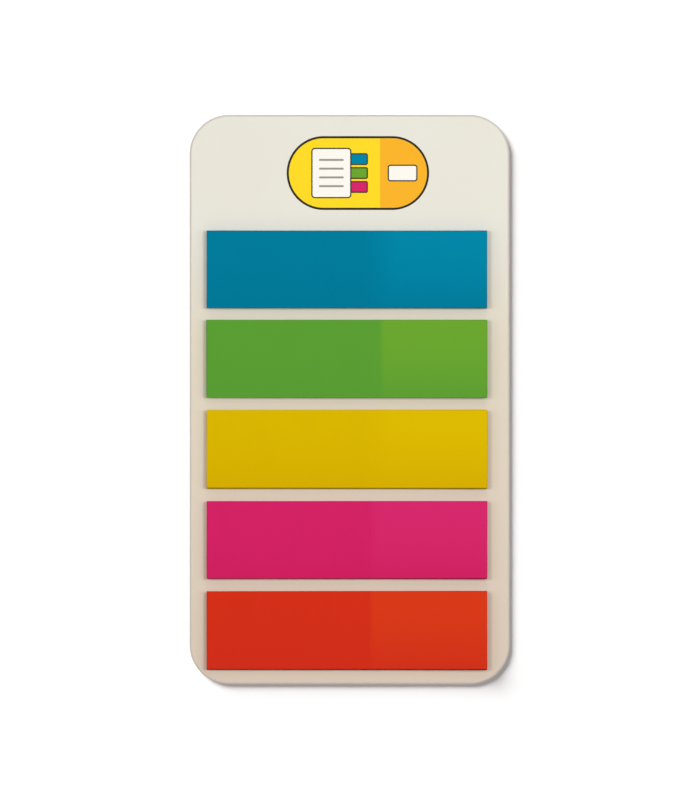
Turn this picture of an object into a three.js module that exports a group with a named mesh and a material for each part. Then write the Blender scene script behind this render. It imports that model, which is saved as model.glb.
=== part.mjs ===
// Sticky index tabs: five pads of film tabs lying on a pocket card, in millimetres.
// The card lies on its back on the plane z = 0. X runs along the tabs, Y up the card, Z out of its front.

import * as THREE from 'three';

// Film tabs
const TAB_LENGTH = 43.2;
const TAB_WIDTH = 11.9;
const FILM_THICKNESS = 0.055;
const TABS_PER_PAD = 20;
const ADHESIVE_LENGTH = 26.2;
const STACK_SPREAD = 0.12;
const TOP_TAB_LIFT = 0.3;
const FREE_END_STEPS = 10;

// Card, with a bare printed head above the pads
const CARD_THICKNESS = 0.8;
const CORNER_RADIUS = 6.1;
const RIM_REACH = 0.5;
const RIM_DEPTH = 0.32;
const RIM_FLAT = 0.15;
const LEFT_MARGIN = 2.7;
const RIGHT_MARGIN = 3.5;
const FOOT_MARGIN = 2.5;
const ROW_GAP = 2.0;
const HEAD_HEIGHT = 17.95;
const CORNER_STEPS = 16;
const RIM_STEPS = 4;

// Pads from the foot of the card to its head; shift is how far a pad was laid above its even place
const PADS = [
  { name: 'orange', colour: 0xd5341a, shift: 0 },
  { name: 'pink', colour: 0xd22568, shift: 0 },
  { name: 'yellow', colour: 0xd8b401, shift: 0.13 },
  { name: 'green', colour: 0x5fa031, shift: 0.14 },
  { name: 'blue', colour: 0x0180a1, shift: 0 },
];

const CARD_COLOUR = 0xe4ded0;
const CARD_ROUGHNESS = 0.4;
const FILM_ROUGHNESS = 0.5;

// Sizes that follow from the ones above
const rowPitch = TAB_WIDTH + ROW_GAP;
const cardWidth = LEFT_MARGIN + TAB_LENGTH + RIGHT_MARGIN;
const cardHeight = FOOT_MARGIN + PADS.length * rowPitch - ROW_GAP + HEAD_HEIGHT;
const stackHeight = (TABS_PER_PAD - 1) * FILM_THICKNESS;

// Outline of a rectangle with round corners, centred on the origin
function roundedRectangle(width, height, radius) {
  const right = width / 2 - radius;
  const top = height / 2 - radius;
  const quarter = Math.PI / 2;
  const outline = new THREE.Shape();
  outline.absarc(right, top, radius, 0, quarter);
  outline.absarc(-right, top, radius, quarter, 2 * quarter);
  outline.absarc(-right, -top, radius, 2 * quarter, 3 * quarter);
  outline.absarc(right, -top, radius, 3 * quarter, 4 * quarter);
  outline.closePath();
  return outline;
}

// The card is one flat plate. On both faces its rim falls away by RIM_DEPTH over the last RIM_REACH,
// and a flat band at least RIM_FLAT high is left between the two
function cardGeometry() {
  const depth = Math.min(RIM_DEPTH, (CARD_THICKNESS - RIM_FLAT) / 2);
  const geometry = new THREE.ExtrudeGeometry(roundedRectangle(cardWidth, cardHeight, CORNER_RADIUS), {
    depth: CARD_THICKNESS - 2 * depth,
    bevelThickness: depth,
    bevelSize: RIM_REACH,
    bevelOffset: -RIM_REACH,
    bevelSegments: RIM_STEPS,
    curveSegments: CORNER_STEPS,
  });
  return geometry.translate(0, 0, depth);
}

// How far a tab has risen at a distance from its stuck end: flat on its adhesive, then a slow curve up
function riseAt(distance, lift) {
  const share = Math.max(0, distance - ADHESIVE_LENGTH) / (TAB_LENGTH - ADHESIVE_LENGTH);
  return lift * share * share;
}

// Distances from the stuck end at which the tabs' side view has a point
function stations() {
  const free = TAB_LENGTH - ADHESIVE_LENGTH;
  const list = [0];
  for (let step = 0; step <= FREE_END_STEPS; step += 1) {
    list.push(ADHESIVE_LENGTH + (free * step) / FREE_END_STEPS);
  }
  return list;
}

// A layer of film as wide as a tab, between two heights that are given along its length
function layerGeometry(underside, upperside) {
  const side = stations().map((distance) => new THREE.Vector2(distance, underside(distance)));
  side.push(...stations().reverse().map((distance) => new THREE.Vector2(distance, upperside(distance))));
  const geometry = new THREE.ExtrudeGeometry(new THREE.Shape(side), { depth: TAB_WIDTH, bevelEnabled: false });
  geometry.rotateX(Math.PI / 2);
  return geometry.translate(0, TAB_WIDTH, 0);
}

// All the tabs of a pad but the top one; their free ends lie a little looser than their stuck ends
function stackGeometry() {
  return layerGeometry(
    () => 0,
    (distance) => stackHeight + riseAt(distance, STACK_SPREAD),
  );
}

// The next tab to be peeled: stuck flat on the stack, its free end standing up a little
function topTabGeometry() {
  return layerGeometry(
    (distance) => stackHeight + riseAt(distance, TOP_TAB_LIFT),
    (distance) => stackHeight + FILM_THICKNESS + riseAt(distance, TOP_TAB_LIFT),
  );
}

function plastic(colour, roughness) {
  return new THREE.MeshStandardMaterial({ color: colour, roughness, metalness: 0 });
}

function piece(name, geometry, material) {
  const mesh = new THREE.Mesh(geometry, material);
  mesh.name = name;
  return mesh;
}

// One pad, its origin at the stuck end's lower corner on the card's front
function makePad({ name, colour }) {
  const pad = new THREE.Group();
  pad.add(piece(`${name}_tab_stack`, stackGeometry(), plastic(colour, FILM_ROUGHNESS)));
  pad.add(piece(`${name}_top_tab`, topTabGeometry(), plastic(colour, FILM_ROUGHNESS)));
  return pad;
}

function makeIndexTabs() {
  const whole = new THREE.Group();
  whole.add(piece('backing_card', cardGeometry(), plastic(CARD_COLOUR, CARD_ROUGHNESS)));
  PADS.forEach((entry, row) => {
    const pad = makePad(entry);
    const foot = FOOT_MARGIN + row * rowPitch + entry.shift;
    pad.position.set(LEFT_MARGIN - cardWidth / 2, foot - cardHeight / 2, CARD_THICKNESS);
    whole.add(pad);
  });
  return whole;
}

const indexTabs = makeIndexTabs();

export default indexTabs;
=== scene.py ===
"""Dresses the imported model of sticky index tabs: five pads of film tabs on a pocket card.

Sizes in the classes are in millimetres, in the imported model's own frame: X along the tabs, Y up the card
and Z out of its front. Meshes, lamps and the camera are placed in metres.
"""

from __future__ import annotations

import logging
import math
from dataclasses import dataclass, field, replace
from enum import Enum

import bmesh
import bpy
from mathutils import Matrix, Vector


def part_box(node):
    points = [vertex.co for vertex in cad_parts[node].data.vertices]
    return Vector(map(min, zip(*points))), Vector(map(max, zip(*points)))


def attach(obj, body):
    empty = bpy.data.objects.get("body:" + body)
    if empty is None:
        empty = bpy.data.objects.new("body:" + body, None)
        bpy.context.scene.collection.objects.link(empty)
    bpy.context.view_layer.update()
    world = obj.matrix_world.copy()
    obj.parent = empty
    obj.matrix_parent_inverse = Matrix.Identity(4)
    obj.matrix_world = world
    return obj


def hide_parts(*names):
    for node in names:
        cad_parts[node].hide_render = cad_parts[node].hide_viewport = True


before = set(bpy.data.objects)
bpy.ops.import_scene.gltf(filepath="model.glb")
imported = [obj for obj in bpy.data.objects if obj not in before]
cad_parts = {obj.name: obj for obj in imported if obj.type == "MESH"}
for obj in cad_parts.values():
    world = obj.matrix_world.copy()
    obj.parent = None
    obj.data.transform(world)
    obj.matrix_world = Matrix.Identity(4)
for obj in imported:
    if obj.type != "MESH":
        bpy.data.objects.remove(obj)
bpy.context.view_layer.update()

MM = 0.001
INK_EDGE = 0.05
NOISE_MIDDLE = 0.5
NOISE_ROUGHNESS = 0.55
LOG = logging.getLogger("index_tabs")

Colour = tuple[float, float, float]


def paint(red: int, green: int, blue: int) -> Colour:
    """Turns a colour as it is seen, 0 to 255, into the linear one that shaders take.

    Args:
        red: red, 0 to 255.
        green: green, 0 to 255.
        blue: blue, 0 to 255.

    Returns:
        The linear colour.
    """

    def linear(level: int) -> float:
        """Linear value of one channel."""
        share = level / 255
        return share / 12.92 if share <= 0.04045 else ((share + 0.055) / 1.055) ** 2.4

    return linear(red), linear(green), linear(blue)


class Field:
    """A number that varies over a surface, held by a node's socket and used in Python expressions."""

    def __init__(self, board: Board, socket: bpy.types.NodeSocket) -> None:
        """Wraps a socket of a board's tree."""
        self.board = board
        self.socket = socket

    def _join(self, operation: str, *terms: Field | float) -> Field:
        """Adds one Math node that works on the terms in their order."""
        return self.board.add("ShaderNodeMath", {"operation": operation}, dict(enumerate(terms)))

    def __add__(self, other: Field | float) -> Field:
        """Sum."""
        return self._join("ADD", self, other)

    def __radd__(self, other: float) -> Field:
        """Sum with a plain number first."""
        return self._join("ADD", other, self)

    def __sub__(self, other: Field | float) -> Field:
        """Difference."""
        return self._join("SUBTRACT", self, other)

    def __rsub__(self, other: float) -> Field:
        """Difference with a plain number first."""
        return self._join("SUBTRACT", other, self)

    def __mul__(self, other: Field | float) -> Field:
        """Product."""
        return self._join("MULTIPLY", self, other)

    def __truediv__(self, other: Field | float) -> Field:
        """Quotient."""
        return self._join("DIVIDE", self, other)

    def __pow__(self, other: float) -> Field:
        """Power."""
        return self._join("POWER", self, other)

    def __abs__(self) -> Field:
        """Size without its sign."""
        return self._join("ABSOLUTE", self)

    def sine(self) -> Field:
        """Sine of an angle in radians."""
        return self._join("SINE", self)

    def at_least(self, other: Field | float) -> Field:
        """The larger of two numbers."""
        return self._join("MAXIMUM", self, other)

    def at_most(self, other: Field | float) -> Field:
        """The smaller of two numbers."""
        return self._join("MINIMUM", self, other)

    def kept_in(self, low: float = 0.0, high: float = 1.0) -> Field:
        """The number, kept between two bounds."""
        return self.at_least(low).at_most(high)


class Board:
    """Adds nodes to one tree, whether of a material, of the world or of geometry."""

    def __init__(self, tree: bpy.types.NodeTree) -> None:
        """Starts on an empty tree."""
        self.tree = tree
        tree.nodes.clear()

    def add(
        self,
        kind: str,
        settings: dict[str, object] | None = None,
        inputs: dict[int | str, object] | None = None,
        output: int | str = 0,
    ) -> Field:
        """Adds one node.

        Args:
            kind: the node's type.
            settings: the node's own settings, set first.
            inputs: values or links of its sockets, by place or by name.
            output: the output socket to hand back.

        Returns:
            The output socket as a field.
        """
        node = self.tree.nodes.new(kind)
        for name, setting in (settings or {}).items():
            setattr(node, name, setting)
        for place, value in (inputs or {}).items():
            self.feed(node.inputs[place], value)
        return Field(self, node.outputs[output] if node.outputs else None)

    def feed(self, socket: bpy.types.NodeSocket, value: object) -> None:
        """Links a field to a socket, or sets the socket's own value.

        Args:
            socket: the input.
            value: a field, number, text, colour, vector or material.
        """
        if isinstance(value, Field):
            self.tree.links.new(value.socket, socket)
        elif socket.type == "RGBA" and len(value) == 3:
            socket.default_value = (*value, 1.0)
        else:
            socket.default_value = value

    def blend(self, share: Field, first: Field | Colour, second: Field | Colour) -> Field:
        """Mixes two colours.

        Args:
            share: 0 for the first colour, 1 for the second.
            first: a colour.
            second: a colour.

        Returns:
            The mixed colour.
        """
        settings = {"data_type": "RGBA", "clamp_factor": True}
        return self.add("ShaderNodeMix", settings, {0: share, 6: first, 7: second}, output=2)

    def split(self, vector: Field) -> tuple[Field, Field, Field]:
        """Takes a vector apart.

        Args:
            vector: the vector.

        Returns:
            Its X, Y and Z.
        """
        node = self.tree.nodes.new("ShaderNodeSeparateXYZ")
        self.tree.links.new(vector.socket, node.inputs[0])
        return tuple(Field(self, socket) for socket in node.outputs)

    def noise(
        self,
        place: Field,
        size: float,
        detail: float = 2.0,
        stretch: tuple[float, float, float] = (1, 1, 1),
    ) -> Field:
        """Soft noise from 0 to 1 over the piece.

        Args:
            place: Object coordinates.
            size: width of its blotches in millimetres.
            detail: finer layers on top of it.
            stretch: how many times wider the blotches are along X, Y and Z.

        Returns:
            The noise.
        """
        scale = tuple(1 / share for share in stretch)
        where = self.add("ShaderNodeMapping", {}, {"Vector": place, "Scale": scale})
        values = {
            "Vector": where,
            "Scale": 1 / (size * MM),
            "Detail": detail,
            "Roughness": NOISE_ROUGHNESS,
        }
        return self.add("ShaderNodeTexNoise", {}, values)


@dataclass(frozen=True)
class InkShape:
    """A printed rectangle with round corners, placed from the badge's centre, in millimetres."""

    across: float
    up: float
    half_width: float
    half_height: float
    corner: float
    colour: Colour

    def mask(self, x: Field, y: Field, grow: float = 0.0) -> Field:
        """Where the shape lies.

        Args:
            x: place across, from the badge's centre, in millimetres.
            y: place up, from the badge's centre, in millimetres.
            grow: how far its edge is moved out.

        Returns:
            1 on the shape, 0 off it.
        """
        over_x = abs(x - self.across) - (self.half_width - self.corner)
        over_y = abs(y - self.up) - (self.half_height - self.corner)
        out_x = over_x.at_least(0.0)
        out_y = over_y.at_least(0.0)
        outside = (out_x * out_x + out_y * out_y) ** 0.5
        inside = over_x.at_least(over_y).at_most(0.0)
        distance = outside + inside - (self.corner + grow)
        return (0.5 - distance / INK_EDGE).kept_in()


INK_LINE = paint(46, 42, 40)
INK_BLUE = paint(1, 133, 166)
INK_GREEN = paint(104, 164, 47)
INK_PINK = paint(211, 40, 107)
INK_YELLOW = paint(252, 218, 40)
INK_AMBER = paint(248, 180, 44)
INK_WHITE = paint(250, 247, 238)
INK_GREY = paint(150, 148, 144)


@dataclass(frozen=True)
class Badge:
    """A plain printed badge on the card's head: a pill that holds a picture of a page with tabs."""

    across: float = 1.3
    below_head: float = 9.0
    half_width: float = 11.0
    half_height: float = 5.7
    amber_from: float = 3.4
    line_width: float = 0.34
    page: InkShape = InkShape(-4.1, 0.0, 2.9, 3.7, 0.35, INK_WHITE)
    flag: InkShape = InkShape(-0.55, 0.0, 1.9, 0.72, 0.12, INK_GREEN)
    rule: InkShape = InkShape(-4.1, 0.0, 1.9, 0.15, 0.1, INK_GREY)
    label: InkShape = InkShape(6.9, 0.0, 2.1, 1.1, 0.25, INK_WHITE)
    page_line: float = 0.2
    flag_pitch: float = 2.15
    ruled_lines: int = 4
    ruled_pitch: float = 1.35

    def pictures(self) -> list[tuple[InkShape, float]]:
        """Shapes on the pill, from the lowest ink up, each with the width of its dark outline.

        Returns:
            Shape and outline width.
        """
        flag_rows = ((1, INK_BLUE), (0, INK_GREEN), (-1, INK_PINK))
        flags = [replace(self.flag, up=row * self.flag_pitch, colour=colour) for row, colour in flag_rows]
        top = (self.ruled_lines - 1) / 2 * self.ruled_pitch
        ruled = [replace(self.rule, up=top - row * self.ruled_pitch) for row in range(self.ruled_lines)]
        outlined = [(shape, self.page_line) for shape in (*flags, self.page)]
        return [*outlined, *((line, 0.0) for line in ruled), (self.label, self.page_line)]

    def print_on(self, board: Board, x: Field, y: Field, card: Field | Colour) -> tuple[Field, Field]:
        """Lays the badge's inks over the card's colour.

        Args:
            board: the card material's board.
            x: place across from the badge's centre, in millimetres.
            y: place up from the badge's centre, in millimetres.
            card: the card's bare colour.

        Returns:
            The colour with the print on it, and where there is ink.
        """
        pill = InkShape(0.0, 0.0, self.half_width, self.half_height, self.half_height, INK_YELLOW)
        ink = pill.mask(x, y)
        inside = pill.mask(x, y, grow=-self.line_width)
        colour = board.blend(ink, card, INK_LINE)
        colour = board.blend(inside, colour, INK_YELLOW)
        amber = ((x - self.amber_from) / INK_EDGE).kept_in() * inside
        colour = board.blend(amber, colour, INK_AMBER)
        for shape, outline in self.pictures():
            if outline:
                colour = board.blend(shape.mask(x, y, grow=outline), colour, INK_LINE)
            colour = board.blend(shape.mask(x, y), colour, shape.colour)
        return colour, ink


def new_material(name: str) -> tuple[bpy.types.Material, Board]:
    """Makes an empty node material.

    Args:
        name: its name.

    Returns:
        The material and the board of its nodes.
    """
    material = bpy.data.materials.new(name)
    material.use_nodes = True
    return material, Board(material.node_tree)


def finish_surface(board: Board, sockets: dict[str, object]) -> None:
    """Adds the surface shader and the output.

    Args:
        board: the material's board.
        sockets: the shader's values and links.
    """
    shader = board.add("ShaderNodeBsdfPrincipled", {}, sockets)
    board.add("ShaderNodeOutputMaterial", {}, {"Surface": shader})


def raised(board: Board, height: Field, strength: float, distance: float) -> Field:
    """Turns a height over the surface into its normal.

    Args:
        board: the material's board.
        height: the height, in shares of the distance.
        strength: how much of it is seen.
        distance: the distance in millimetres.

    Returns:
        The normal.
    """
    inputs = {"Height": height, "Strength": strength, "Distance": distance * MM}
    return board.add("ShaderNodeBump", {}, inputs)


@dataclass(frozen=True)
class MilkyPlastic:
    """The card's satin off-white plastic, painted a little warmer and darker towards its foot as light
    falloff, and with painted shade on its rim.
    """

    # The next three tones paint light falloff over the card: lighter at its head, darker and warmer towards
    # its foot.
    head: Colour = paint(231, 229, 218)
    falloff_waist: Colour = paint(226, 217, 198)
    foot: Colour = paint(221, 206, 189)
    back: Colour = paint(227, 222, 209)
    cloud: Colour = paint(222, 213, 197)
    # The edge tone is painted shade: the rim, where it falls away from the faces, is coloured darker.
    edge: Colour = paint(212, 204, 193)
    waist_height: float = 0.6
    falloff_head_blend: float = 0.2
    side_blend: float = 0.1
    rim_shade_drop: float = 0.035
    rim_shade_start: float = 0.5
    cloud_size: float = 14.0
    cloud_depth: float = 0.4
    cloud_share: float = 0.05
    grain_size: float = 0.16
    grain_height: float = 0.004
    rub_size: float = 0.5
    rub_length: float = 24.0
    rub_height: float = 0.4
    ink_height: float = 1.5
    ink_filling: float = 0.7
    roughness: float = 0.4
    cloud_gloss: float = 0.12
    rub_gloss: float = 0.08
    ink_gloss: float = 0.1
    bump: float = 0.5
    index: float = 1.49
    mirror: float = 0.25
    badge: Badge = Badge()

    def make(self, card: BackingCard) -> bpy.types.Material:
        """Makes the material.

        Args:
            card: the card that it goes on.

        Returns:
            The material.
        """
        material, board = new_material("milky_plastic")
        place = board.add("ShaderNodeTexCoord", output="Object")
        x, y, z = (part / MM for part in board.split(place))
        # Painted light falloff: the plastic is made lighter at the card's head and darker and warmer
        # towards its foot.
        falloff_share = ((y + card.height / 2) / card.height).kept_in()
        lower = board.blend(falloff_share / self.waist_height, self.foot, self.falloff_waist)
        bare = board.blend((falloff_share - self.waist_height) / self.falloff_head_blend, lower, self.head)
        front = ((z - card.thickness / 2) / self.side_blend).kept_in()
        bare = board.blend(front, self.back, bare)
        clouds = board.noise(place, self.cloud_size, detail=3.0)
        cloudy = (clouds - NOISE_MIDDLE) * self.cloud_depth + self.cloud_share
        bare = board.blend(cloudy, bare, self.cloud)
        badge_x = x - self.badge.across
        badge_y = y - (card.height / 2 - self.badge.below_head)
        printed, ink = self.badge.print_on(board, badge_x, badge_y, bare)
        colour = board.blend(front, bare, printed)
        # Painted shade on the rim: away from the two faces the plate takes the darker edge colour.
        drop = card.thickness / 2 - abs(z - card.thickness / 2)
        colour = board.blend((drop / self.rim_shade_drop - self.rim_shade_start).kept_in(), colour, self.edge)
        ink = ink * front
        grain = board.noise(place, self.grain_size)
        rubs = board.noise(place, self.rub_size, stretch=(1, self.rub_length, 1))
        rough = self.roughness + (clouds - NOISE_MIDDLE) * self.cloud_gloss
        rough = rough + (rubs - NOISE_MIDDLE) * self.rub_gloss - ink * self.ink_gloss
        height = grain * (1 - ink * self.ink_filling) + rubs * self.rub_height + ink * self.ink_height
        normal = raised(board, height, self.bump, self.grain_height)
        finish_surface(
            board,
            {
                "Base Color": colour,
                "Roughness": rough,
                "Normal": normal,
                "IOR": self.index,
                "Specular IOR Level": self.mirror,
            },
        )
        return material


@dataclass(frozen=True)
class DyedFilm:
    """Dyed film: deeper in tone where it is stuck down and a little lighter over its free end, with painted
    shade towards the pad's lower edge and between its leaves.
    """

    name: str
    stuck: Colour
    free: Colour
    # low is painted shade: the darker colour the film takes towards the pad's long lower edge.
    low: Colour
    stuck_length: float
    wander: float
    fade: float
    wave_size: float = 9.0
    wetting_size: float = 4.5
    wetting_stretch: tuple[float, float, float] = (0.7, 1.4, 1)
    wetting_from: float = 0.42
    wetting_depth: float = 1.5
    wetting_shade: float = 0.95
    low_edge_shade_share: float = 0.8
    # The layer fields and top_sharpness paint shade between the stacked leaves: leaves under the top ones
    # are darkened, by an amount that swings from leaf to leaf.
    layer_waves: tuple[float, float] = (61.0, 17.0)
    layer_swing: float = 0.3
    layer_middle: float = 0.45
    layer_share: float = 0.8
    layer_shade: float = 0.5
    top_sharpness: float = 8.0
    grain_size: float = 0.11
    grain_height: float = 0.004
    ripple_size: float = 2.2
    ripple_height: float = 0.15
    roughness: float = 0.26
    wetting_gloss: float = 0.06
    free_gloss: float = 0.05
    bump: float = 0.45
    index: float = 1.45
    mirror: float = 0.12

    def make(self, low: Vector, high: Vector) -> bpy.types.Material:
        """Makes the material.

        Args:
            low: lower corner of the pad, in metres.
            high: upper corner of the pad, in metres.

        Returns:
            The material.
        """
        material, board = new_material(f"{self.name}_film")
        place = board.add("ShaderNodeTexCoord", output="Object")
        x, y, _ = board.split(place)
        waves = board.noise(place, self.wave_size, detail=3.0)
        edge = (x - low.x) / MM - self.stuck_length + (waves - NOISE_MIDDLE) * self.wander
        free = (0.5 + edge / self.fade).kept_in()
        wetting = board.noise(place, self.wetting_size, detail=4.0, stretch=self.wetting_stretch)
        deep = tuple(channel * self.wetting_shade for channel in self.stuck)
        stuck = board.blend((wetting - self.wetting_from) * self.wetting_depth, self.stuck, deep)
        colour = board.blend(free, stuck, self.free)
        # Painted shade: the film darkens towards the pad's long lower edge.
        shade_towards_low_edge = ((high.y - y) / (high.y - low.y)).kept_in()
        colour = board.blend(shade_towards_low_edge * shade_towards_low_edge * self.low_edge_shade_share, colour, self.low)
        rank = board.add("ShaderNodeAttribute", {"attribute_name": "rank"}, output="Fac")
        # Painted shade between the leaves: each leaf below the top ones is darkened towards a darker copy
        # of the stuck colour, by an amount that varies from leaf to leaf.
        quick, slow = ((rank * wave).sine() * self.layer_swing for wave in self.layer_waves)
        layer = quick + slow + self.layer_middle
        leaf_shade_colour = tuple(channel * self.layer_shade for channel in self.stuck)
        colour = board.blend(layer * (1 - rank ** self.top_sharpness) * self.layer_share, colour, leaf_shade_colour)
        grain = board.noise(place, self.grain_size)
        ripple = board.noise(place, self.ripple_size, detail=1.0)
        rough = self.roughness + (wetting - NOISE_MIDDLE) * self.wetting_gloss + free * self.free_gloss
        height = grain + ripple * (1 - free) * self.ripple_height
        normal = raised(board, height, self.bump, self.grain_height)
        finish_surface(
            board,
            {
                "Base Color": colour,
                "Roughness": rough,
                "Normal": normal,
                "IOR": self.index,
                "Specular IOR Level": self.mirror,
            },
        )
        return material


class Film(Enum):
    """The five films, from the card's head to its foot."""

    BLUE = DyedFilm(
        "blue",
        stuck=paint(1, 122, 153),
        free=paint(1, 132, 165),
        low=paint(1, 117, 147),
        stuck_length=26.6,
        wander=2.4,
        fade=5.0,
    )
    GREEN = DyedFilm(
        "green",
        stuck=paint(89, 157, 51),
        free=paint(105, 165, 47),
        low=paint(87, 153, 51),
        stuck_length=27.0,
        wander=0.3,
        fade=0.9,
    )
    YELLOW = DyedFilm(
        "yellow",
        stuck=paint(216, 182, 1),
        free=paint(219, 185, 1),
        low=paint(210, 170, 1),
        stuck_length=26.4,
        wander=2.0,
        fade=4.0,
    )
    PINK = DyedFilm(
        "pink",
        stuck=paint(211, 35, 102),
        free=paint(213, 41, 108),
        low=paint(206, 31, 94),
        stuck_length=25.7,
        wander=0.9,
        fade=1.6,
    )
    ORANGE = DyedFilm(
        "orange",
        stuck=paint(213, 48, 26),
        free=paint(217, 58, 25),
        low=paint(208, 47, 27),
        stuck_length=25.4,
        wander=0.3,
        fade=0.9,
    )


def mesh_object(name: str, mesh: bpy.types.Mesh) -> bpy.types.Object:
    """Puts a mesh into the scene.

    Args:
        name: the object's name.
        mesh: its mesh, in metres in the part's frame.

    Returns:
        The object.
    """
    made = bpy.data.objects.new(name, mesh)
    bpy.context.scene.collection.objects.link(made)
    return made


@dataclass
class BackingCard:
    """The card: a flat plate with round corners, its rim falling away on both faces."""

    node: str = "backing_card"
    corner: float = 6.1
    rim_reach: float = 0.5
    rim_depth: float = 0.32
    flat_band: float = 0.35
    corner_steps: int = 28
    rim_steps: int = 8
    width: float = field(init=False)
    height: float = field(init=False)
    thickness: float = field(init=False)

    def __post_init__(self) -> None:
        """Reads the plate's size from its node."""
        low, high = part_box(self.node)
        self.width, self.height, self.thickness = (high - low) / MM

    def outline(self, inset: float) -> list[tuple[float, float]]:
        """The plate's outline, drawn in by a distance.

        Args:
            inset: the distance in millimetres.

        Returns:
            Points in order, the same number for any inset.
        """
        radius = self.corner - inset
        points = []
        for quarter in range(4):
            side_x = 1 if quarter in (0, 3) else -1
            side_y = 1 if quarter in (0, 1) else -1
            centre_x = side_x * (self.width / 2 - self.corner)
            centre_y = side_y * (self.height / 2 - self.corner)
            for step in range(self.corner_steps + 1):
                angle = math.pi / 2 * (quarter + step / self.corner_steps)
                points.append((centre_x + radius * math.cos(angle), centre_y + radius * math.sin(angle)))
        return points

    def levels(self) -> list[tuple[float, float]]:
        """Inset and height of each ring of the plate, from its back to its front.

        Returns:
            Pairs in millimetres.
        """
        curve = []
        for step in range(self.rim_steps + 1):
            angle = math.pi / 2 * step / self.rim_steps
            inset = self.rim_reach * (1 - math.sin(angle))
            height = self.rim_depth * (1 - math.cos(angle))
            curve.append((inset, height))
        front = [(inset, self.thickness - height) for inset, height in reversed(curve)]
        inner = self.rim_reach + self.flat_band
        return [(inner, 0.0), *curve, *front, (inner, self.thickness)]

    def build(self) -> bpy.types.Object:
        """Builds the plate's mesh.

        Returns:
            The card's object.
        """
        shape = bmesh.new()
        rings = [
            [shape.verts.new((x * MM, y * MM, height * MM)) for x, y in self.outline(inset)]
            for inset, height in self.levels()
        ]
        count = len(rings[0])
        for lower, upper in zip(rings, rings[1:]):
            for place in range(count):
                after = (place + 1) % count
                shape.faces.new((lower[place], lower[after], upper[after], upper[place]))
        shape.faces.new(reversed(rings[0]))
        shape.faces.new(rings[-1])
        for face in shape.faces:
            face.smooth = True
        mesh = bpy.data.meshes.new("card")
        shape.to_mesh(mesh)
        shape.free()
        return mesh_object("card", mesh)

    def dress(self, card: bpy.types.Object, finish: MilkyPlastic) -> None:
        """Gives the card its plastic and ties it to its node.

        Args:
            card: the card's object.
            finish: its plastic.
        """
        card.data.materials.append(finish.make(self))
        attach(card, "root")
        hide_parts(self.node)


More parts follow.
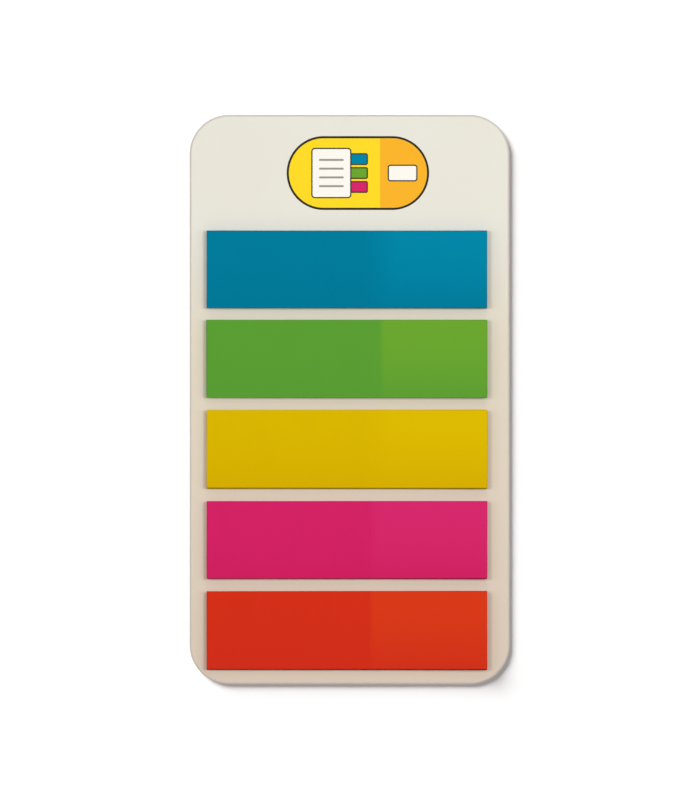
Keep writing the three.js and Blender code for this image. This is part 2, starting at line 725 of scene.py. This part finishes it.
class LeafPile:
    """Geometry nodes that lay leaves of film on one another, stuck at one end and free at the other."""

    INPUTS = {
        "Length": "NodeSocketFloat",
        "Width": "NodeSocketFloat",
        "Film": "NodeSocketFloat",
        "Pitch": "NodeSocketFloat",
        "First": "NodeSocketInt",
        "Leaves": "NodeSocketInt",
        "Pad Leaves": "NodeSocketInt",
        "Stuck Length": "NodeSocketFloat",
        "Tip Lift": "NodeSocketFloat",
        "Bow": "NodeSocketFloat",
        "Slip": "NodeSocketVector",
        "Lean": "NodeSocketFloat",
        "Turn": "NodeSocketFloat",
        "Corner": "NodeSocketVector",
        "Seed": "NodeSocketInt",
        "Material": "NodeSocketMaterial",
    }
    STEPS_ALONG = 44
    STEPS_ACROSS = 6
    SHARP_ANGLE = 0.5

    def __init__(self) -> None:
        """Builds the tree."""
        self.tree = bpy.data.node_groups.new("leaf_pile", "GeometryNodeTree")
        self.board = Board(self.tree)
        self.keys = {}
        for name, kind in self.INPUTS.items():
            socket = self.tree.interface.new_socket(name=name, in_out="INPUT", socket_type=kind)
            self.keys[name] = socket.identifier
        self.tree.interface.new_socket(name="Geometry", in_out="OUTPUT", socket_type="NodeSocketGeometry")
        group = self.tree.nodes.new("NodeGroupInput")
        given = {name: Field(self.board, group.outputs[name]) for name in self.INPUTS}
        self._finish(self._bend(self._stack(given), given), given)

    def _vector(self, x: Field | float, y: Field | float, z: Field | float) -> Field:
        """A vector from three numbers."""
        return self.board.add("ShaderNodeCombineXYZ", {}, {0: x, 1: y, 2: z})

    def _stack(self, given: dict[str, Field]) -> Field:
        """Lays flat leaves on one another, each slipped and turned a little.

        Args:
            given: the tree's inputs.

        Returns:
            The leaves as one mesh, with each leaf's rank from 0 to 1 as an attribute.
        """
        board = self.board
        rise = self._vector(0.0, 0.0, given["Pitch"])
        start = self._vector(0.0, 0.0, given["First"] * given["Pitch"])
        line = board.add(
            "GeometryNodeMeshLine",
            {"mode": "OFFSET", "count_mode": "TOTAL"},
            {"Count": given["Leaves"], "Start Location": start, "Offset": rise},
        )
        place = board.add("GeometryNodeInputIndex") + given["First"]
        rank = place / (given["Pad Leaves"] - 1)
        line = board.add(
            "GeometryNodeStoreNamedAttribute",
            {"data_type": "FLOAT", "domain": "POINT"},
            {"Geometry": line, "Name": "rank", "Value": rank},
        )
        low = board.add("ShaderNodeVectorMath", {"operation": "SCALE"}, {0: given["Slip"], "Scale": -1.0})
        slip = board.add(
            "FunctionNodeRandomValue",
            {"data_type": "FLOAT_VECTOR"},
            {0: low, 1: given["Slip"], "ID": place, "Seed": given["Seed"]},
        )
        turn = board.add(
            "FunctionNodeRandomValue",
            {"data_type": "FLOAT"},
            {2: given["Turn"] * -1.0, 3: given["Turn"], "ID": place, "Seed": given["Seed"] + 1},
            output=1,
        )
        line = board.add("GeometryNodeSetPosition", {}, {"Geometry": line, "Offset": slip})
        lean = self._vector(0.0, given["Lean"] * (rank - 1), 0.0)
        line = board.add("GeometryNodeSetPosition", {}, {"Geometry": line, "Offset": lean})
        leaf = board.add(
            "GeometryNodeMeshCube",
            {},
            {
                "Size": self._vector(given["Length"], given["Width"], given["Film"]),
                "Vertices X": self.STEPS_ALONG,
                "Vertices Y": self.STEPS_ACROSS,
                "Vertices Z": 2,
            },
        )
        middle = self._vector(given["Length"] * 0.5, given["Width"] * 0.5, given["Film"] * 0.5)
        leaf = board.add("GeometryNodeTransform", {}, {"Geometry": leaf, "Translation": middle})
        piled = board.add(
            "GeometryNodeInstanceOnPoints",
            {},
            {"Points": line, "Instance": leaf, "Rotation": self._vector(0.0, 0.0, turn)},
        )
        return board.add("GeometryNodeRealizeInstances", {}, {"Geometry": piled})

    def _bend(self, leaves: Field, given: dict[str, Field]) -> Field:
        """Lifts the free ends, more for higher leaves, and bows the long lower edges.

        Args:
            leaves: the flat leaves.
            given: the tree's inputs.

        Returns:
            The bent leaves, still at the origin.
        """
        board = self.board
        rank = board.add("GeometryNodeInputNamedAttribute", {"data_type": "FLOAT"}, {"Name": "rank"})
        along, across, _ = board.split(board.add("GeometryNodeInputPosition"))
        reach = ((along - given["Stuck Length"]) / (given["Length"] - given["Stuck Length"])).kept_in()
        tip = given["Tip Lift"] * rank * reach * reach
        edge = (1 - across / given["Width"]).kept_in()
        belly = ((along / given["Length"]).kept_in() * math.pi).sine()
        bow = given["Bow"] * rank * rank * rank * edge * edge * belly
        lift = self._vector(0.0, 0.0, tip + bow)
        return board.add("GeometryNodeSetPosition", {}, {"Geometry": leaves, "Offset": lift})

    def _finish(self, leaves: Field, given: dict[str, Field]) -> None:
        """Moves the leaves to their corner, keeps their cut edges sharp and gives them their film.

        Args:
            leaves: the bent leaves.
            given: the tree's inputs.
        """
        board = self.board
        corner = given["Corner"]
        placed = board.add("GeometryNodeTransform", {}, {"Geometry": leaves, "Translation": corner})
        angle = board.add("GeometryNodeInputMeshEdgeAngle", output="Unsigned Angle")
        cut = board.add(
            "FunctionNodeCompare",
            {"data_type": "FLOAT", "operation": "GREATER_THAN"},
            {0: angle, 1: self.SHARP_ANGLE},
        )
        smooth = board.add(
            "GeometryNodeSetShadeSmooth",
            {"domain": "FACE"},
            {0: placed, "Shade Smooth": True},
        )
        edged = board.add(
            "GeometryNodeSetShadeSmooth",
            {"domain": "EDGE"},
            {0: smooth, "Selection": cut, "Shade Smooth": False},
        )
        film = given["Material"]
        dressed = board.add("GeometryNodeSetMaterial", {}, {"Geometry": edged, "Material": film})
        board.add("NodeGroupOutput", {}, {"Geometry": dressed})

    def make(self, name: str, values: dict[str, object]) -> bpy.types.Object:
        """Runs the nodes once and keeps the result as a plain mesh.

        Args:
            name: the piece's name.
            values: a value for each input.

        Returns:
            The piece.
        """
        carrier = mesh_object("carrier", bpy.data.meshes.new("carrier"))
        modifier = carrier.modifiers.new("leaves", "NODES")
        modifier.node_group = self.tree
        for key, value in values.items():
            modifier[self.keys[key]] = value
        graph = bpy.context.evaluated_depsgraph_get()
        mesh = bpy.data.meshes.new_from_object(carrier.evaluated_get(graph))
        bpy.data.objects.remove(carrier)
        mesh.name = name
        return mesh_object(name, mesh)


@dataclass
class TabPad:
    """One pad: a stack of leaves stuck to the card and the top tab, the next to be peeled."""

    film: Film
    slip_along: float
    slip_across: float
    lean: float
    turn: float
    bow: float
    seed: int
    leaves: int = 20
    pitch: float = 0.055
    adhesive: float = 0.006
    bend_from: float = 26.2

    @property
    def colour(self) -> str:
        """The pad's colour, as its nodes are named."""
        return self.film.value.name

    def build(self, pile: LeafPile, material: bpy.types.Material) -> list[bpy.types.Object]:
        """Builds the stack and the top tab in the places of their nodes.

        Args:
            pile: the nodes that lay the leaves.
            material: the pad's film.

        Returns:
            The two pieces.
        """
        low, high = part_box(f"{self.colour}_tab_stack")
        top_low, top_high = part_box(f"{self.colour}_top_tab")
        lower = self.leaves - 1
        stack_lift = (high.z - low.z) - lower * self.pitch * MM
        top_lift = (top_high.z - top_low.z) - self.pitch * MM
        shared = {
            "Length": high.x - low.x,
            "Width": high.y - low.y,
            "Film": (self.pitch - self.adhesive) * MM,
            "Pitch": self.pitch * MM,
            "Pad Leaves": self.leaves,
            "Stuck Length": self.bend_from * MM,
            "Bow": self.bow * MM,
            "Slip": (self.slip_along * MM, self.slip_across * MM, 0.0),
            "Lean": self.lean * MM,
            "Turn": math.radians(self.turn),
            "Corner": tuple(low),
            "Seed": self.seed,
            "Material": material,
        }
        stack = {**shared, "First": 0, "Leaves": lower, "Tip Lift": stack_lift}
        top = {**shared, "First": lower, "Leaves": 1, "Tip Lift": top_lift}
        return [
            pile.make(f"{self.colour}_leaves", stack),
            pile.make(f"{self.colour}_top_leaf", top),
        ]

    def dress(self, pieces: list[bpy.types.Object]) -> None:
        """Ties the two pieces to their nodes.

        Args:
            pieces: the stack and the top tab.
        """
        for piece, node in zip(pieces, ("tab_stack", "top_tab")):
            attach(piece, "root")
            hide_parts(f"{self.colour}_{node}")


@dataclass
class Lamp:
    """A soft lamp, not mirrored in any gloss, placed in millimetres from the card's middle."""

    name: str
    place: tuple[float, float, float]
    size: float
    power: float
    colour: Colour = (1.0, 1.0, 1.0)

    def build(self, receivers: bpy.types.Collection) -> bpy.types.Object:
        """Builds the lamp.

        Args:
            receivers: what the lamp lights.

        Returns:
            The lamp's object.
        """
        data = bpy.data.lights.new(self.name, "AREA")
        data.shape = "DISK"
        data.size = self.size * MM
        data.energy = self.power
        data.color = self.colour
        lamp = bpy.data.objects.new(self.name, data)
        lamp.location = Vector(self.place) * MM
        lamp.rotation_euler = (-lamp.location).to_track_quat("-Z", "Y").to_euler()
        lamp.light_linking.receiver_collection = receivers
        lamp.visible_glossy = False
        bpy.context.scene.collection.objects.link(lamp)
        return lamp


@dataclass
class Studio:
    """A white floor, plain soft light and a camera that looks straight down on the card."""

    picture_height: float = 123.55
    aim_x: float = 0.08
    aim_y: float = -0.077
    card_plane: float = 0.8
    lens: float = 200.0
    sensor: float = 36.0
    floor_half: float = 700.0
    floor_drop: float = 0.01
    floor_glow: float = 0.14
    glow_tint: Colour = (1.0, 0.84, 0.86)
    floor_white: float = 0.8
    low_sky: float = 0.35
    high_sky: float = 0.16
    high_from: float = 0.45
    high_blend: float = 0.2
    zenith: float = 0.02
    zenith_from: float = 0.9
    zenith_blend: float = 0.05
    beneath: float = 0.75
    beneath_rise: float = 8.0
    shade_elevation: float = 27.5
    shade_softness: float = 37.0
    shade_strength: float = 2.12
    near_clip: float = 0.01
    far_clip: float = 100.0

    def collection(self, name: str, members: list[bpy.types.Object]) -> bpy.types.Collection:
        """Gathers what a lamp lights.

        Args:
            name: the collection's name.
            members: its objects.

        Returns:
            The collection.
        """
        gathered = bpy.data.collections.new(name)
        for member in members:
            gathered.objects.link(member)
        return gathered

    def floor(self) -> bpy.types.Object:
        """Builds the white floor, which keeps the card's shadow and can be seen through from below.

        Returns:
            The floor.
        """
        half = self.floor_half * MM
        mesh = bpy.data.meshes.new("floor")
        corners = [(-half, -half), (half, -half), (half, half), (-half, half)]
        mesh.from_pydata([(x, y, -self.floor_drop * MM) for x, y in corners], [], [(0, 1, 2, 3)])
        material, board = new_material("white_floor")
        seen = board.add("ShaderNodeLightPath", output="Is Camera Ray")
        white = (self.floor_white,) * 3
        lit = board.add("ShaderNodeBsdfDiffuse", {}, {"Color": white})
        shining = seen * self.floor_glow
        glow = board.add("ShaderNodeEmission", {}, {"Color": self.glow_tint, "Strength": shining})
        top = board.add("ShaderNodeAddShader", {}, {0: lit, 1: glow})
        below = board.add("ShaderNodeNewGeometry", output="Backfacing")
        clear = board.add("ShaderNodeBsdfTransparent")
        surface = board.add("ShaderNodeMixShader", {}, {0: below, 1: top, 2: clear})
        board.add("ShaderNodeOutputMaterial", {}, {"Surface": surface})
        mesh.materials.append(material)
        floor = mesh_object("floor", mesh)
        floor.visible_diffuse = False
        floor.visible_glossy = False
        floor.visible_shadow = False
        return floor

    def sky(self) -> None:
        """Lights everything softly, most from beneath and least from straight above, and shows as white."""
        world = bpy.data.worlds.new("studio")
        bpy.context.scene.world = world
        world.use_nodes = True
        board = Board(world.node_tree)
        direction = board.add("ShaderNodeTexCoord", output="Generated")
        _, _, up = board.split(direction)
        high = ((up - self.high_from) / self.high_blend).kept_in()
        overhead = ((up - self.zenith_from) / self.zenith_blend).kept_in()
        below = (up * -self.beneath_rise).kept_in()
        level = self.low_sky + high * (self.high_sky - self.low_sky)
        level = level - overhead * (self.high_sky - self.zenith)
        level = level + below * (self.beneath - self.low_sky)
        around = board.add("ShaderNodeBackground", {}, {"Color": (1, 1, 1), "Strength": level})
        white = board.add("ShaderNodeBackground", {}, {"Color": (1, 1, 1), "Strength": 1.0})
        seen = board.add("ShaderNodeLightPath", output="Is Camera Ray")
        shown = board.add("ShaderNodeMixShader", {}, {0: seen, 1: around, 2: white})
        board.add("ShaderNodeOutputWorld", {}, {"Surface": shown})

    def floor_light(self, receivers: bpy.types.Collection) -> None:
        """Lights the floor from the upper left, so that the card's shadow falls to its lower right.

        Args:
            receivers: the floor.
        """
        data = bpy.data.lights.new("floor_light", "SUN")
        data.energy = self.shade_strength * math.pi
        data.angle = math.radians(self.shade_softness)
        lamp = bpy.data.objects.new("floor_light", data)
        slope = math.radians(self.shade_elevation)
        side = math.cos(slope) / math.sqrt(2)
        towards = Vector((side, -side, -math.sin(slope)))
        lamp.rotation_euler = towards.to_track_quat("-Z", "Y").to_euler()
        lamp.light_linking.receiver_collection = receivers
        bpy.context.scene.collection.objects.link(lamp)

    def camera(self) -> None:
        """Sets the camera over the card, at the height from which the picture is that high."""
        data = bpy.data.cameras.new("camera")
        data.lens = self.lens
        data.sensor_width = self.sensor
        height = self.card_plane + self.picture_height * self.lens / self.sensor
        data.clip_start = height * MM * self.near_clip
        data.clip_end = height * MM * self.far_clip
        camera = bpy.data.objects.new("camera", data)
        camera.location = (self.aim_x * MM, self.aim_y * MM, height * MM)
        bpy.context.scene.collection.objects.link(camera)
        bpy.context.scene.camera = camera

    def build(self, pieces: list[bpy.types.Object]) -> None:
        """Builds the whole studio round the part.

        Args:
            pieces: the part's pieces.
        """
        part = self.collection("part", pieces)
        ground = self.collection("ground", [self.floor()])
        lamps = [
            Lamp("left_light", place=(-150, 45, 320), size=110, power=0.36),
            Lamp("right_light", place=(150, 45, 320), size=110, power=0.47),
            Lamp("left_low_light", place=(-270, 10, 225), size=130, power=0.14),
            Lamp("right_low_light", place=(270, 10, 225), size=130, power=0.14),
            Lamp("head_light", place=(15, 130, 170), size=60, power=0.04),
            Lamp("foot_light", place=(-20, -200, 150), size=120, power=0.04, colour=(1.0, 0.62, 0.4)),
        ]
        for lamp in lamps:
            lamp.build(part)
        self.floor_light(ground)
        self.sky()
        self.camera()
        bpy.context.scene.view_settings.view_transform = "Standard"


def make_pads() -> list[TabPad]:
    """The five pads, with how evenly each one's leaves lie.

    Returns:
        The pads from the card's head to its foot.
    """
    return [
        TabPad(Film.BLUE, slip_along=0.05, slip_across=0.04, lean=0.0, turn=0.08, bow=0.3, seed=3),
        TabPad(Film.GREEN, slip_along=0.07, slip_across=0.05, lean=0.05, turn=0.1, bow=0.2, seed=11),
        TabPad(Film.YELLOW, slip_along=0.08, slip_across=0.06, lean=0.24, turn=0.1, bow=0.04, seed=19),
        TabPad(Film.PINK, slip_along=0.06, slip_across=0.05, lean=0.1, turn=0.08, bow=0.03, seed=27),
        TabPad(Film.ORANGE, slip_along=0.05, slip_across=0.08, lean=0.26, turn=0.1, bow=0.05, seed=35),
    ]


def report(pieces: list[bpy.types.Object]) -> None:
    """Logs each piece with the number of its faces."""
    for piece in pieces:
        LOG.info("%s: %d faces", piece.name, len(piece.data.polygons))


def main() -> None:
    """Builds the card, the pads and the studio."""
    logging.basicConfig(level=logging.INFO, format="%(name)s %(message)s")
    backing = BackingCard()
    card = backing.build()
    backing.dress(card, MilkyPlastic())
    report([card])
    pieces = [card]
    pile = LeafPile()
    for pad in make_pads():
        film = pad.film.value.make(*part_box(f"{pad.colour}_tab_stack"))
        leaves = pad.build(pile, film)
        pad.dress(leaves)
        report(leaves)
        pieces.extend(leaves)
    Studio().build(pieces)


if __name__ == "__main__":
    main()
